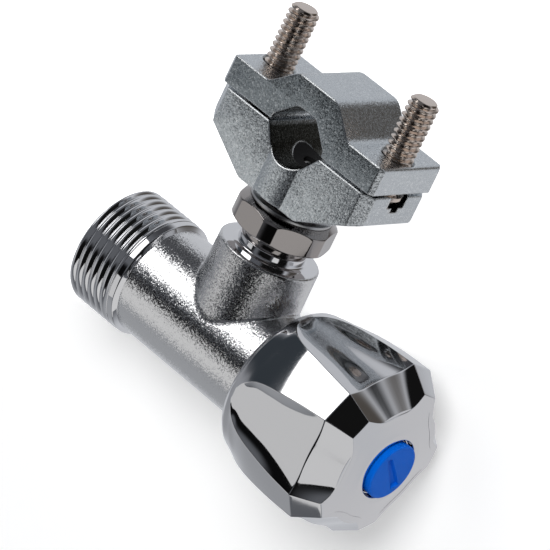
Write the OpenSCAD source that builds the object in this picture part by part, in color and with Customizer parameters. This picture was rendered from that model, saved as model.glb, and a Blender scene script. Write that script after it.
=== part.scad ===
// Self-piercing saddle valve with a five-lobed knob, as separate named pieces.
// Units are millimetres. X runs along the valve body towards the knob, Z up the
// branch towards the pipe clamp, and Y is the direction of the clamped pipe.
// The modules are drawn about the point where the body axis and the branch axis
// meet, and held() then puts the origin in the middle of the clamped pipe.

/* [Outlet and body] */
// outside diameter of the outlet thread
outlet_d = 26.44; // [20:0.02:34]
// distance from the branch axis to the outlet end
outlet_reach = 34; // [30:0.5:44]
// length of the outlet thread
outlet_thread_l = 12.3; // [9:0.1:16]
// diameter of the body tube
tube_d = 24.2; // [22:0.1:28]
// distance from the branch axis to the knob end of the body
body_reach = 17; // [15:0.5:22]
// bore of the outlet
outlet_bore_d = 17.2; // [14:0.1:19]

/* [Branch] */
// diameter of the branch boss at its flat top
boss_d = 21.4; // [19:0.1:24]
// height of the boss top above the body axis
boss_top = 20.5; // [18:0.5:24]
// diameter of the turned spigot on the boss
spigot_d = 14.4; // [13.6:0.1:16]
// height of the turned spigot
spigot_h = 2.1; // [1.5:0.1:3]
// outside diameter of the nipple thread
nipple_d = 13.16; // [12.6:0.02:13.4]
// lead of the nipple thread
nipple_lead = 1.337; // [1:0.001:1.6]

/* [Lock nut] */
// width across the flats of the lock nut
nut_af = 19.8; // [18:0.2:22]
// height of the lock nut
nut_h = 5.8; // [5:0.1:7]
// free space between the nipple shoulder and the lock nut
nut_low_gap = 1.4; // [1.2:0.1:2]

/* [Pipe clamp] */
// length of both clamp halves
clamp_l = 42.8; // [40:0.2:48]
// width of both clamp halves along the pipe
clamp_w = 19.5; // [18:0.5:24]
// outside diameter of the pipe that is held
pipe_d = 12; // [10:0.5:12.5]
// gap between the halves as delivered
clamp_gap = 0.6; // [0.5:0.1:1]
// thickness of the upper flanges
flange_t = 6; // [5.5:0.1:8]
// height of the upper half above its parting face
arch_h = 11.4; // [11:0.1:14]
// width of the flat top of the arch
arch_top_w = 10.8; // [9:0.2:13]
// width of the arch where it meets the flanges
arch_foot_w = 22.2; // [20:0.2:24]
// height of the lower half
lower_h = 13.7; // [13.5:0.1:16]
// height of the end faces of the lower half
lower_end_h = 6.3; // [6:0.1:8]
// width of the flat underside
lower_flat_w = 16; // [14:0.5:18]

/* [Clamp screws] */
// outside diameter of the screw thread
screw_d = 6.35; // [6:0.05:6.5]
// lead of the screw thread
screw_lead = 1.27; // [1:0.01:1.5]
// distance from the axis of a screw to the end of the clamp
screw_edge = 4.4; // [4.3:0.1:6]
// length of screw that stands above the upper half
screw_out = 13; // [10:0.5:16]

/* [Headwork] */
// diameter of the headwork thread in the body
headwork_d = 18; // [17:0.1:19]
// width across the flats of the headwork hexagon
headwork_af = 20; // [19:0.5:21]
// diameter of the valve seat hole
seat_d = 8.4; // [7:0.1:9]
// travel of the valve disc
lift = 4.5; // [3:0.25:4.5]

/* [Knob] */
// number of lobes on the knob
knob_lobes = 5; // [5:1:7]
// radius over the lobes at the front edge
knob_lobe_r = 20.1; // [19:0.1:23]
// radius at the bottom of the flutes at the front edge
knob_flute_r = 18; // [17.4:0.1:19]
// radius over the lobes on the front face
face_lobe_r = 16.4; // [15:0.1:18]
// radius at the bottom of the flutes on the front face
face_flute_r = 13; // [12:0.1:14]
// distance from the branch axis to the rear rim of the knob
knob_rear = 15; // [14.5:0.1:15.5]
// length of the knob
knob_l = 31.6; // [31:0.1:34]
// diameter of the hole for the index cap
cap_hole_d = 13.4; // [12.6:0.1:14]
// turn of the lobes about the axis in the rest pose
knob_phase = 1; // [0:1:71]

/* [Hidden] */
$fn = 64;
fit = 0.06; // running clearance on a radius
function thread_depth(lead) = 0.613 * lead;
cut = 0.5; // how far a cutter runs past a face
// stations up the branch axis
spigot_top = boss_top + spigot_h;
shoulder_top = spigot_top + 1;
nut_z = shoulder_top + nut_low_gap;
washer_z = nut_z + nut_h;
washer_t = 0.7;
hub_z = washer_z + washer_t + 1;
lower_z = hub_z + 0.5;
lower_top = lower_z + lower_h;
pipe_z = lower_top + clamp_gap / 2;
upper_z = lower_top + clamp_gap;
channel_z = pipe_z - pipe_d / 2;
seal_z = channel_z - 1.7;
web_z = seal_z - 0.8;
nipple_top = web_z - 2.1;
cutter_top = channel_z - 0.5;
// sizes on the branch axis
branch_bore_r = 4;
socket_r = 5.5;
cutter_r = 1.8;
cutter_seal_r = 0.5;
hub_r = clamp_w / 2 + 0.75;
// clamp screws
screw_span = clamp_l - 2 * screw_edge;
pocket_r = sqrt(pow(screw_edge, 2) + pow(2.5, 2));
seat_pocket_r = sqrt(pow(screw_edge, 2) + 0.9);
collar_r = 4.3;
neck_r = 2;
web_top = lower_top - 3.5;
web_low = web_top - 1.7;
thrust_r = 3.4;
thrust_t = 1.5;
// stations along the body axis
seat_x = -3.6;
chamber_x = -5;
chamber_r = 8.2;
hex_x = body_reach + 0.6;
hex_l = 5;
knob_front = knob_rear + knob_l;
guide_x = body_reach + 3;
neck_x = hex_x + hex_l;
neck_end = neck_x + 8;
drive_end = knob_front - 5.2;
jumper_end = guide_x - lift - 0.4;
guide_af = 9.4;
edge_x = knob_front - 7;
lobe_step = 360 / knob_lobes;
hub_x = neck_end + 1.8;

// Round bar or cone along X from x0 to x1.
module bar_x(x0, x1, r0, r1 = -1) {
    translate([x0, 0, 0])
        rotate([0, 90, 0])
            cylinder(h = x1 - x0, r1 = r0, r2 = r1 < 0 ? r0 : r1);
}

// Round bar or cone along Z from z0 to z1.
module bar_z(z0, z1, r0, r1 = -1) {
    translate([0, 0, z0])
        cylinder(h = z1 - z0, r1 = r0, r2 = r1 < 0 ? r0 : r1);
}

// Hexagonal bar along X, with flats facing up and down.
module hex_x_bar(x0, x1, af) {
    translate([x0, 0, 0])
        rotate([0, 90, 0])
            cylinder(h = x1 - x0, r = af / sqrt(3), $fn = 6);
}

// Ring with a round section about Z.
module o_ring(mean_r, section_r) {
    rotate_extrude()
        translate([mean_r, 0])
            circle(r = section_r, $fn = 24);
}

// Cast body: outlet, tube, boss, spigot, seat and chamber in one piece.
module valve_body() {
    thread_r = outlet_d / 2;
    ring_x = -outlet_reach + outlet_thread_l;
    color("silver")
        difference() {
            union() {
                bar_x(-outlet_reach, -outlet_reach + 0.9, thread_r - 0.9, thread_r);
                bar_x(-outlet_reach + 0.9, ring_x + 1.3, thread_r);
                bar_x(ring_x + 1.3, ring_x + 1.8, thread_r, tube_d / 2);
                bar_x(ring_x, body_reach, tube_d / 2);
                bar_z(0, boss_top, boss_d / 2 + 1.1, boss_d / 2);
                bar_z(boss_top - cut, spigot_top, spigot_d / 2);
            }
            bar_x(-outlet_reach - cut, -12, outlet_bore_d / 2);
            bar_x(-12.01, -9, outlet_bore_d / 2, seat_d / 2);
            bar_x(-9.01, seat_x + cut, seat_d / 2);
            difference() {
                bar_x(chamber_x, body_reach + cut, chamber_r);
                bar_x(chamber_x - cut, seat_x, seat_d / 2 + 1.4);
            }
            bar_x(body_reach - 8.5, body_reach + cut, headwork_d / 2);
            bar_z(5, spigot_top + cut, branch_bore_r);
            bar_z(boss_top - 7.5, spigot_top + cut, socket_r);
        }
}

// Threaded nipple: shank in the boss, round shoulder and the long thread.
module inlet_nipple() {
    depth = thread_depth(nipple_lead);
    color("tan")
        difference() {
            union() {
                bar_z(boss_top - 7.4, spigot_top, socket_r);
                bar_z(spigot_top, shoulder_top, nipple_d / 2 + 0.05);
                bar_z(shoulder_top, nipple_top - depth, nipple_d / 2);
                bar_z(nipple_top - depth, nipple_top, nipple_d / 2, nipple_d / 2 - depth);
            }
            bar_z(boss_top - 8, nipple_top + cut, cutter_r);
        }
}

// Hollow cutter pressed in the nipple, with a slanted cutting end.
module piercing_tube() {
    color("silver")
        difference() {
            bar_z(nipple_top - 9, cutter_top, cutter_r);
            bar_z(nipple_top - 10, cutter_top + cut, cutter_r - 0.6);
            translate([0.3 - cutter_r, 0, cutter_top])
                rotate([0, 25, 0])
                    translate([0, 0, 1.5])
                        cube([12, 12, 3], center = true);
        }
}

// Round seal on the cutter, resting on the end of the nipple.
module cutter_seal() {
    color("black")
        translate([0, 0, nipple_top + cutter_seal_r])
            o_ring(cutter_r + 0.05 + cutter_seal_r, cutter_seal_r);
}

// Hexagonal lock nut with turned corners and chamfers on both faces.
module lock_nut() {
    corner_r = nut_af / 2 * 1.07;
    color("rosybrown")
        rotate([0, 0, -9.5])
            difference() {
                intersection() {
                    bar_z(nut_z, washer_z, nut_af / sqrt(3), $fn = 6);
                    union() {
                        bar_z(nut_z, nut_z + 0.6, corner_r - 0.8, corner_r);
                        bar_z(nut_z + 0.6, washer_z - 1.2, corner_r);
                        bar_z(washer_z - 1.2, washer_z, corner_r, corner_r - 1.7);
                    }
                }
                bar_z(nut_z - cut, washer_z + cut, nipple_d / 2 + fit);
                bar_z(nut_z - 0.01, nut_z + 0.6, nipple_d / 2 + 0.6, nipple_d / 2);
            }
}

// Plain washer between the lock nut and the lower half.
module nut_washer() {
    color("gray")
        difference() {
            bar_z(washer_z, washer_z + washer_t, nipple_d / 2 + 2.2);
            bar_z(washer_z - cut, washer_z + washer_t + cut, nipple_d / 2 + 0.35);
        }
}

// A block with the outline given in X and Z, cut square across the pipe.
module slab(points) {
    translate([0, clamp_w / 2, 0])
        rotate([90, 0, 0])
            linear_extrude(height = clamp_w)
                polygon(points);
}

// Bars that take the upright corners off a clamp half.
module corner_cuts(z0, z1, size) {
    for (sx = [-1, 1], sy = [-1, 1])
        translate([sx * clamp_l / 2, sy * clamp_w / 2, (z0 + z1) / 2])
            rotate([0, 0, 45])
                cube([size * sqrt(2), size * sqrt(2), z1 - z0 + 2], center = true);
}

// Lower half: channel, hub for the nipple, seal seat and the screw pockets.
module front_saddle() {
    x1 = clamp_l / 2;
    z1 = lower_top - lower_end_h;
    arc = [for (a = [-55 : 5 : 55]) [pipe_d / 2 * sin(a), pipe_z - pipe_d / 2 * cos(a)]];
    rim = pipe_d / 2 * sin(55) + (lower_top + 1 - pipe_z + pipe_d / 2 * cos(55)) / tan(55);
    color("lightsteelblue")
        difference() {
            union() {
                difference() {
                    slab([[-x1, lower_top], [x1, lower_top], [x1, z1], [lower_flat_w / 2, lower_z],
                        [-lower_flat_w / 2, lower_z], [-x1, z1]]);
                    corner_cuts(z1 - 8, lower_top, 2.3);
                }
                bar_z(lower_z, channel_z + 2, hub_r);
                bar_z(hub_z, lower_z + cut, nipple_d / 2 + 1.8);
            }
            rotate([90, 0, 0])
                translate([0, pipe_z, 0])
                    cylinder(h = clamp_w + 8, r = pipe_d / 2, center = true);
            translate([0, clamp_w / 2 + 4, 0])
                rotate([90, 0, 0])
                    linear_extrude(height = clamp_w + 8)
                        polygon([arc[0], [-rim, lower_top + 1], [rim, lower_top + 1],
                            arc[len(arc) - 1]]);
            bar_z(hub_z - cut, web_z, nipple_d / 2 + fit);
            bar_z(web_z - cut, seal_z + cut, cutter_r + 0.2);
            bar_z(seal_z, channel_z + 3, 4.6);
            for (side = [-1, 1])
                translate([side * screw_span / 2, 0, 0]) {
                    bar_z(lower_top - 2.5, lower_top + cut, pocket_r);
                    bar_z(web_top, lower_top - 2.4, seat_pocket_r);
                    bar_z(web_low - cut, web_top + cut, neck_r + fit);
                    bar_z(lower_z, web_low, thrust_r + 0.3);
                }
        }
}

// Rubber seal around the cutter, flush with the pipe channel.
module saddle_seal() {
    color("dimgray")
        difference() {
            bar_z(seal_z, channel_z + 2, 4.6);
            bar_z(seal_z - cut, channel_z + 3, cutter_r + 0.2);
            rotate([90, 0, 0])
                translate([0, pipe_z, 0])
                    cylinder(h = clamp_w, r = pipe_d / 2, center = true);
        }
}

// Upper half: flanges, arch, eight-sided channel and the two tapped holes.
module back_saddle() {
    x1 = clamp_l / 2;
    top = upper_z + arch_h;
    flange_top = upper_z + flange_t;
    foot = arch_foot_w / 2;
    peak = arch_top_w / 2;
    flat_r = pipe_d / 2 * tan(22.5);
    rim = pipe_d / 2 * sin(55) + (lower_top - pipe_z + pipe_d / 2 * cos(55)) / tan(55);
    rim_z = pipe_z + pipe_d / 2 - (rim - flat_r);
    color("lightsteelblue")
        difference() {
            slab([[-x1, upper_z], [-x1, flange_top - 0.5], [-x1 + 0.5, flange_top],
                [-foot - 0.6, flange_top], [-foot + 0.3, flange_top + 0.4],
                [-peak - 0.7, top - 0.5], [-peak + 0.5, top],
                [peak - 0.5, top], [peak + 0.7, top - 0.5],
                [foot - 0.3, flange_top + 0.4], [foot + 0.6, flange_top],
                [x1 - 0.5, flange_top], [x1, flange_top - 0.5], [x1, upper_z]]);
            corner_cuts(upper_z, flange_top, 0.9);
            translate([0, clamp_w / 2 + 1, 0])
                rotate([90, 0, 0])
                    linear_extrude(height = clamp_w + 2)
                        polygon([[-rim, upper_z - 1], [-rim, rim_z], [-flat_r, pipe_z + pipe_d / 2],
                            [flat_r, pipe_z + pipe_d / 2], [rim, rim_z], [rim, upper_z - 1]]);
            for (side = [-1, 1])
                translate([side * screw_span / 2, 0, 0]) {
                    bar_z(upper_z - cut, flange_top + cut, screw_d / 2 + fit);
                    bar_z(flange_top - 0.6, flange_top + 0.01, screw_d / 2, screw_d / 2 + 0.65);
                }
        }
}

// Clamp screw: thread, cone shoulder in the pocket and the necked drive end.
module clamp_screw(side) {
    tip = upper_z + flange_t + screw_out;
    shoulder = lower_top - 0.3;
    depth = thread_depth(screw_lead);
    color("rosybrown")
        translate([side * screw_span / 2, 0, 0])
            difference() {
                union() {
                    bar_z(web_low - 0.1 - thrust_t, web_top + 0.1, neck_r);
                    bar_z(web_top + 0.1, shoulder - 0.8, neck_r + 0.5, collar_r);
                    bar_z(shoulder - 0.8, shoulder, collar_r);
                    bar_z(shoulder, tip - depth, screw_d / 2);
                    bar_z(tip - depth, tip, screw_d / 2, screw_d / 2 - depth);
                }
                translate([0, 0, web_low - 0.1 - thrust_t])
                    cube([2 * thrust_r, 0.8, 1.6], center = true);
            }
}

// Thrust washer riveted on the drive end, under the lower half.
module thrust_washer(side) {
    color("gray")
        translate([side * screw_span / 2, 0, 0])
            difference() {
                bar_z(web_low - 0.1 - thrust_t, web_low - 0.1, thrust_r);
                bar_z(web_low - 1 - thrust_t, web_low + cut, neck_r);
            }
}

// Headwork: thread in the body, hexagon, neck and the hexagonal guide inside.
module headwork_body() {
    color("goldenrod")
        difference() {
            union() {
                bar_x(body_reach - 8, hex_x + cut, headwork_d / 2);
                intersection() {
                    hex_x_bar(hex_x, neck_x, headwork_af);
                    bar_x(hex_x, neck_x, headwork_af / 2 * 1.14, headwork_af / 2 * 1.06);
                }
                bar_x(neck_x - cut, neck_end, 6.6);
            }
            hex_x_bar(body_reach - 9, guide_x, guide_af);
            bar_x(guide_x - cut, guide_x + 2.2, 5.2);
            bar_x(guide_x, neck_end + cut, 4 + fit);
        }
}

// Flat seal between the headwork hexagon and the body.
module headwork_seal() {
    color("darkred")
        difference() {
            bar_x(body_reach, hex_x, headwork_af / 2 + 0.6);
            bar_x(body_reach - cut, hex_x + cut, headwork_d / 2);
        }
}

// Spindle: driving thread, thrust collar, journal, clip groove and square drive.
module spindle() {
    collar_x = guide_x + 0.1;
    color("goldenrod")
        difference() {
            union() {
                bar_x(body_reach - 5.5, collar_x, 3);
                bar_x(collar_x, collar_x + 2, 4.9);
                bar_x(collar_x + 2, neck_end + 1.5, 4);
                translate([(neck_end + drive_end) / 2, 0, 0])
                    cube([drive_end - neck_end, 5.6, 5.6], center = true);
            }
            difference() {
                bar_x(neck_x + 2, neck_x + 4.2, 5);
                bar_x(neck_x + 1, neck_x + 5, 2.8);
            }
            difference() {
                bar_x(neck_end + 0.1, neck_end + 0.8, 5);
                bar_x(neck_end, neck_end + 1, 3.4);
            }
            bar_x(drive_end - 9.5, drive_end + cut, 1.7);
        }
}

// Round seal in the spindle groove.
module spindle_seal() {
    color("black")
        translate([neck_x + 3.1, 0, 0])
            rotate([0, 90, 0])
                o_ring(3.4, 0.6);
}

// Spring clip that keeps the spindle in the headwork.
module spindle_clip() {
    color("dimgray")
        difference() {
            bar_x(neck_end + 0.15, neck_end + 0.75, 5.5);
            bar_x(neck_end - cut, neck_end + 1.5, 3.4);
            translate([neck_end + 0.4, 0, -4])
                cube([2, 3.6, 5], center = true);
        }
}

// Disc holder: hexagonal slider with a threaded bore and a cup for the washer.
module jumper() {
    color("goldenrod")
        difference() {
            union() {
                hex_x_bar(-0.5, jumper_end, guide_af - 0.3);
                bar_x(-2, 0, 6.6);
            }
            bar_x(-2.5, -0.9, 5.8);
            bar_x(-1.5, 5, 1.5);
            bar_x(body_reach - 5.7 - lift, jumper_end + cut, 3 + fit);
        }
}

// Rubber washer that closes on the seat.
module seat_washer() {
    color("black")
        difference() {
            bar_x(seat_x + 0.05, -0.9, 5.8);
            bar_x(seat_x - cut, 0, 1.5);
        }
}

// Screw that holds the seat washer in its cup.
module washer_screw() {
    color("goldenrod")
        difference() {
            union() {
                bar_x(seat_x - 1.05, seat_x + 0.05, 2.4, 3.2);
                bar_x(seat_x, 4.6, 1.5);
            }
            translate([seat_x - 1.05, 0, 0])
                cube([1, 0.8, 8], center = true);
        }
}

// Radius of the knob at one angle off a lobe centre: a flat over the lobe and
// an arc-like dip over the flute, half being the half angle of the flat.
function knob_r(a, half, lobe, flute, flat) =
    a <= half
        ? lobe * (1 - flat + flat * cos(half) / cos(a))
        : lobe - (lobe - flute) * sin(90 * (1 - pow(1 - (a - half) / (lobe_step / 2 - half), 2)));

// Sample angles across one lobe and its flute, with both flute edges kept sharp.
function sector(half) = concat(
    [for (i = [0 : 5]) -half + i * half / 3],
    [for (i = [0 : 11]) half + i * (lobe_step - 2 * half) / 12]);

// One closed outline of the knob at a station along its axis. Its flats take the
// given share of the way round.
function outline(x, lobe, flute, share, flat) = [
    let (half = share * lobe_step / 2)
    for (k = [0 : knob_lobes - 1], a = sector(half))
        let (off = a > lobe_step / 2 ? lobe_step - a : abs(a), r = knob_r(off, half, lobe, flute, flat),
            t = a + lobe_step * k)
        [x, r * cos(t), r * sin(t)]];

// Fluted knob. Rows run from the rear rim over the swelling side to
// the front edge, the chamfer and the slightly domed face.
module knob_solid() {
    l = edge_x - knob_rear;
    rows = [
        outline(knob_rear, 14.9, 14.9, 0.94, 0),
        outline(knob_rear + 0.5, 15.8, 15.8, 0.94, 0),
        outline(knob_rear + 1.3, 16.5, 16.5, 0.94, 0),
        outline(knob_rear + 2.6, 17.2, 17.1, 0.87, 0.1),
        outline(knob_rear + 3.4, 17.5, 17.2, 0.74, 0.2),
        outline(knob_rear + 4.6, 18, 17.2, 0.64, 0.4),
        outline(knob_rear + 6.5, 18.5, 17.2, 0.53, 0.7),
        outline(knob_rear + 9.6, 19.1, 17.2, 0.45, 1),
        outline(knob_rear + 14, 19.6, 17.3, 0.39, 1),
        outline(knob_rear + 19, knob_lobe_r - 0.15, 17.6, 0.33, 1),
        outline(edge_x, knob_lobe_r, knob_flute_r, 0.28, 1),
        outline(knob_front - 1.8, face_lobe_r, face_flute_r, 0.22, 1),
        outline(knob_front - 0.1, cap_hole_d / 2 + 1.5, cap_hole_d / 2 + 1.5, 0.22, 0)];
    n = len(rows[0]);
    m = len(rows);
    ring = [for (row = rows, p = row) p];
    points = concat(ring, [[knob_rear, 0, 0], [knob_front, 0, 0]]);
    sides = [for (j = [0 : m - 2], i = [0 : n - 1], half = [0, 1])
        let (a = j * n + i, b = j * n + (i + 1) % n)
        half == 0 ? [a, b, b + n] : [a, b + n, a + n]];
    rear = [for (i = [0 : n - 1]) [m * n, (i + 1) % n, i]];
    front = [for (i = [0 : n - 1]) [m * n + 1, (m - 1) * n + i, (m - 1) * n + (i + 1) % n]];
    rotate([knob_phase, 0, 0])
        polyhedron(points = points, faces = concat(sides, rear, front), convexity = 6);
}

// Knob: fluted outside, hollow skirt over the headwork and a square hub.
module knob() {
    color("silver")
        difference() {
            knob_solid();
            bar_x(knob_rear - cut, neck_x + 1.5, 13.2);
            bar_x(neck_x + 1, hub_x, 8.6);
            translate([(hub_x + drive_end) / 2, 0, 0])
                cube([drive_end - hub_x + 0.6, 5.7, 5.7], center = true);
            bar_x(hub_x, knob_front - 3, 2);
            bar_x(knob_front - 3.6, knob_front + 2, cap_hole_d / 2 - 0.35);
            bar_x(knob_front - 1.6, knob_front + 2, cap_hole_d / 2);
        }
}

// Screw that holds the knob on the spindle, under the index cap.
module knob_screw() {
    head_x = knob_front - 3.6;
    color("gray")
        difference() {
            union() {
                bar_x(drive_end - 8.5, head_x, 1.7);
                bar_x(head_x, head_x + 1.7, 4);
            }
            translate([head_x + 1.7, 0, 0])
                cube([1.4, 1, 9], center = true);
        }
}

// Index cap: coloured disc with a thin skirt in the stepped hole.
module index_cap() {
    cap_top = knob_front + 1.1;
    color("blue")
        difference() {
            union() {
                bar_x(knob_front - 3.2, knob_front - 1, cap_hole_d / 2 - 0.35);
                bar_x(knob_front - 1.2, cap_top - 0.4, cap_hole_d / 2 - 0.5);
                bar_x(cap_top - 0.4, cap_top, cap_hole_d / 2 - 0.5, cap_hole_d / 2 - 0.9);
            }
            bar_x(knob_front - 4, knob_front - 0.9, cap_hole_d / 2 - 1.2);
        }
}

// Puts a piece in the frame whose origin is the middle of the clamped pipe.
module held() {
    translate([0, 0, -pipe_z])
        children();
}

held() valve_body();
held() inlet_nipple();
held() piercing_tube();
held() cutter_seal();
held() lock_nut();
held() nut_washer();
held() front_saddle();
held() saddle_seal();
held() back_saddle();
held() clamp_screw(-1);  // clamp_screw_left
held() clamp_screw(1);  // clamp_screw_right
held() thrust_washer(-1);  // thrust_washer_left
held() thrust_washer(1);  // thrust_washer_right
held() headwork_body();
held() headwork_seal();
held() spindle();
held() spindle_seal();
held() spindle_clip();
held() jumper();
held() seat_washer();
held() washer_screw();
held() knob();
held() knob_screw();
held() index_cap();
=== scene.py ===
import math
from functools import partial
import bpy
import bmesh
import numpy as np
from mathutils import Matrix, Vector


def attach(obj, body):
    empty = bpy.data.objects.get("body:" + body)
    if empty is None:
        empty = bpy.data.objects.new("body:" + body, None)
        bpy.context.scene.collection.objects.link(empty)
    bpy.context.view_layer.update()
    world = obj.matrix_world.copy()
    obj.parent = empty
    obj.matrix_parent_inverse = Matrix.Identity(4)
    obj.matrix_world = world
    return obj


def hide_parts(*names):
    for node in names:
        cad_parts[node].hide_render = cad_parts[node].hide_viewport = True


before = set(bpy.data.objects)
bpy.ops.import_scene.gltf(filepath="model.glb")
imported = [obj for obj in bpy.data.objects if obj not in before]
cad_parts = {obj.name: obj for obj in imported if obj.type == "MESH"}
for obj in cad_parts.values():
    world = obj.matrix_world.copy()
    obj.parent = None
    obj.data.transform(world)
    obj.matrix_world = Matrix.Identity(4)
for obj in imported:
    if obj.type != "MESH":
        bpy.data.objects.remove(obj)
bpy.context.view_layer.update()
print("frame loaded")

# All sizes below are millimetres about the point where the body axis and the branch
# axis meet. X runs to the knob, Z up the branch, Y along the clamped pipe.
pipeHeight = 47.0   # the frame's origin lies this far up the branch axis
toMetres = 0.001
tau = 2 * math.pi


def inFrame(points):
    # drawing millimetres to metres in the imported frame
    return (np.asarray(points, float) - np.array([0.0, 0.0, pipeHeight])) * toMetres


def addObject(name, data):
    thing = bpy.data.objects.new(name, data)
    bpy.context.scene.collection.objects.link(thing)
    return thing


def cleaned(mesh, caps=(), slivers=False):
    # faces added over the given rings of points, doubles at seams and poles merged, slivers
    # dissolved where asked, and all faces turned outwards
    work = bmesh.new()
    work.from_mesh(mesh)
    work.verts.ensure_lookup_table()
    for ring in caps:
        work.faces.new([work.verts[i] for i in ring])
    bmesh.ops.remove_doubles(work, verts=work.verts, dist=1e-7)
    if slivers:
        bmesh.ops.dissolve_degenerate(work, edges=work.edges, dist=1e-8)
    bmesh.ops.recalc_face_normals(work, faces=work.faces)
    work.to_mesh(mesh)
    work.free()
    return mesh


def finishMesh(name, mesh, material, body, angle):
    # a clean smooth mesh on its body; edges sharper than angle degrees stay sharp
    cleaned(mesh, slivers=True)
    mesh.polygons.foreach_set("use_smooth", np.ones(len(mesh.polygons), bool))
    mesh.set_sharp_from_angle(angle=math.radians(angle))
    mesh.materials.clear()
    mesh.materials.append(material)
    piece = addObject(name, mesh)
    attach(piece, body)
    return piece


def polyMesh(name, points, faces):
    # faces is an array with one row of point numbers for each face
    mesh = bpy.data.meshes.new(name)
    mesh.vertices.add(len(points))
    mesh.vertices.foreach_set("co", inFrame(points).astype(np.float32).ravel())
    mesh.loops.add(faces.size)
    mesh.loops.foreach_set("vertex_index", faces.astype(np.int32).ravel())
    mesh.polygons.add(len(faces))
    starts = np.arange(0, faces.size, faces.shape[1], dtype=np.int32)
    mesh.polygons.foreach_set("loop_start", starts)
    mesh.update(calc_edges=True)
    return mesh


def gridMesh(name, grid, wrapRows=False):
    # quads between neighbours of a rows x columns grid; columns always close round
    rows, cols = grid.shape[:2]
    row = np.arange(rows if wrapRows else rows - 1)[:, None]
    col = np.arange(cols)[None, :]
    nextRow, nextCol = (row + 1) % rows, (col + 1) % cols
    ring = [row * cols + col, row * cols + nextCol, nextRow * cols + nextCol, nextRow * cols + col]
    return polyMesh(name, grid.reshape(-1, 3), np.stack(ring, -1).reshape(-1, 4))


def curve(start, corner, end, t):
    # quadratic curve: leaves start and reaches end in the directions of the corner
    return (1 - t) ** 2 * start + 2 * t * (1 - t) * corner + t ** 2 * end


def roundedPath(corners, closed=False, steps=5):
    # each corner (a, b, fillet) becomes a short curve tangent to both of its sides
    pts = np.array([c[:2] for c in corners], float)
    out = []
    last = len(pts) - 1
    for i, corner in enumerate(corners):
        size = corner[2] if len(corner) > 2 else 0
        if size <= 0 or (not closed and i in (0, last)):
            out.append(pts[i])
            continue
        back, ahead = pts[i - 1] - pts[i], pts[(i + 1) % len(pts)] - pts[i]
        backLength, aheadLength = np.linalg.norm(back), np.linalg.norm(ahead)
        trim = min(size, 0.49 * backLength, 0.49 * aheadLength)
        t = np.linspace(0, 1, steps)[:, None]
        out.extend(curve(pts[i] + back / backLength * trim, pts[i], pts[i] + ahead / aheadLength * trim, t))
    return np.array(out)


def refined(path, pieces, closed=False):
    # a path with each side from a to b cut into as many equal pieces as pieces(a, b) says
    ends = np.roll(path, -1, 0) if closed else path[1:]
    fine = []
    for a, b in zip(path, ends):
        count = max(1, int(pieces(a, b)))
        fine.extend(a + (b - a) * k / count for k in range(count))
    return np.array(fine if closed else fine + [path[-1]])


def smoothStep(t):
    return t * t * (3 - 2 * t)


def threadDrop(along, turn, thread):
    # depth below the crest at a height and a turn: crest flat, straight flank, root flat, or a
    # broad round crest and a narrow root where asked; repeated once for each lead and fading
    # at the two ends of the threaded length
    phase = (along - thread["start"]) / thread["lead"] - turn / tau
    t = np.abs(2 * (phase % 1.0) - 1)
    h = np.clip((t - thread["crest"]) / (1 - thread["crest"] - thread["root"]), 0, 1)
    h = h ** 1.5 if thread["round"] else 0.55 * h + 0.45 * smoothStep(h)
    fadeIn = np.clip((along - thread["start"]) / thread["fade"][0], 0, 1)
    fadeOut = np.clip((thread["end"] - along) / thread["fade"][1], 0, 1)
    return thread["depth"] * h * fadeIn * fadeOut


def turnedGrid(axis, path, columns, thread=None):
    # a profile of (along, radius) carried round the X or Z axis; where there is a thread the
    # profile is cut finely and its radius is the smaller of its own and the thread's
    if thread:
        def pieces(a, b):
            inside = max(a[0], b[0]) > thread["start"] and min(a[0], b[0]) < thread["end"]
            return abs(b[0] - a[0]) / thread["step"] if inside and a[1] > thread["inner"] else 1

        path = refined(path, pieces)
    along, radius = path[:, :1], path[:, 1:]
    turn = np.arange(columns)[None, :] * tau / columns
    r = np.repeat(radius, columns, 1)
    if thread:
        cut = thread["radius"] - threadDrop(along, turn, thread)
        threaded = (radius > thread["inner"]) & (along > thread["start"]) & (along < thread["end"])
        r = np.where(threaded, np.minimum(r, cut), r)
    a = np.repeat(along, columns, 1)
    if axis == "x":
        return np.stack([a, r * np.cos(turn), r * np.sin(turn)], -1)
    return np.stack([r * np.cos(turn), r * np.sin(turn), a], -1)


def turnedPiece(name, axis, corners, columns, material, body, thread=None, closed=False, atX=0.0, angle=30):
    grid = turnedGrid(axis, roundedPath(corners, closed), columns, thread)
    grid = grid + np.array([atX, 0, 0])
    return finishMesh(name, gridMesh(name, grid, closed), material, body, angle)


def blendMin(a, b, width):
    # the smaller of two heights, with the crossing rounded over the given width
    h = np.clip(0.5 + 0.5 * (b - a) / width, 0, 1)
    return b * (1 - h) + a * h - width * h * (1 - h)


def carved(piece, cutters):
    # takes the cutters out of a piece and leaves one finished mesh
    for cutter in cutters:
        step = piece.modifiers.new("cut", "BOOLEAN")
        step.operation, step.solver, step.object = "DIFFERENCE", "EXACT", cutter
    bpy.context.view_layer.update()
    shape = piece.evaluated_get(bpy.context.evaluated_depsgraph_get())
    mesh = bpy.data.meshes.new_from_object(shape)
    name, old = piece.name, piece.data
    bpy.data.objects.remove(piece)
    bpy.data.meshes.remove(old)
    for cutter in cutters:
        bpy.data.objects.remove(cutter)
    mesh.name = name
    return mesh


# Materials. Colours are written as they show on a screen and turned linear here.
def linear(hexCode):
    c = np.array([int(hexCode[i:i + 2], 16) for i in (1, 3, 5)]) / 255
    return (*np.where(c <= 0.04045, c / 12.92, ((c + 0.055) / 1.055) ** 2.4).tolist(), 1.0)


def emptied(owner):
    # a material or a world with an empty node tree
    owner.use_nodes = True
    owner.node_tree.nodes.clear()
    return owner


def join(owner, node, socket, source, output):
    owner.node_tree.links.new(source.outputs[output], node.inputs[socket])


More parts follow.
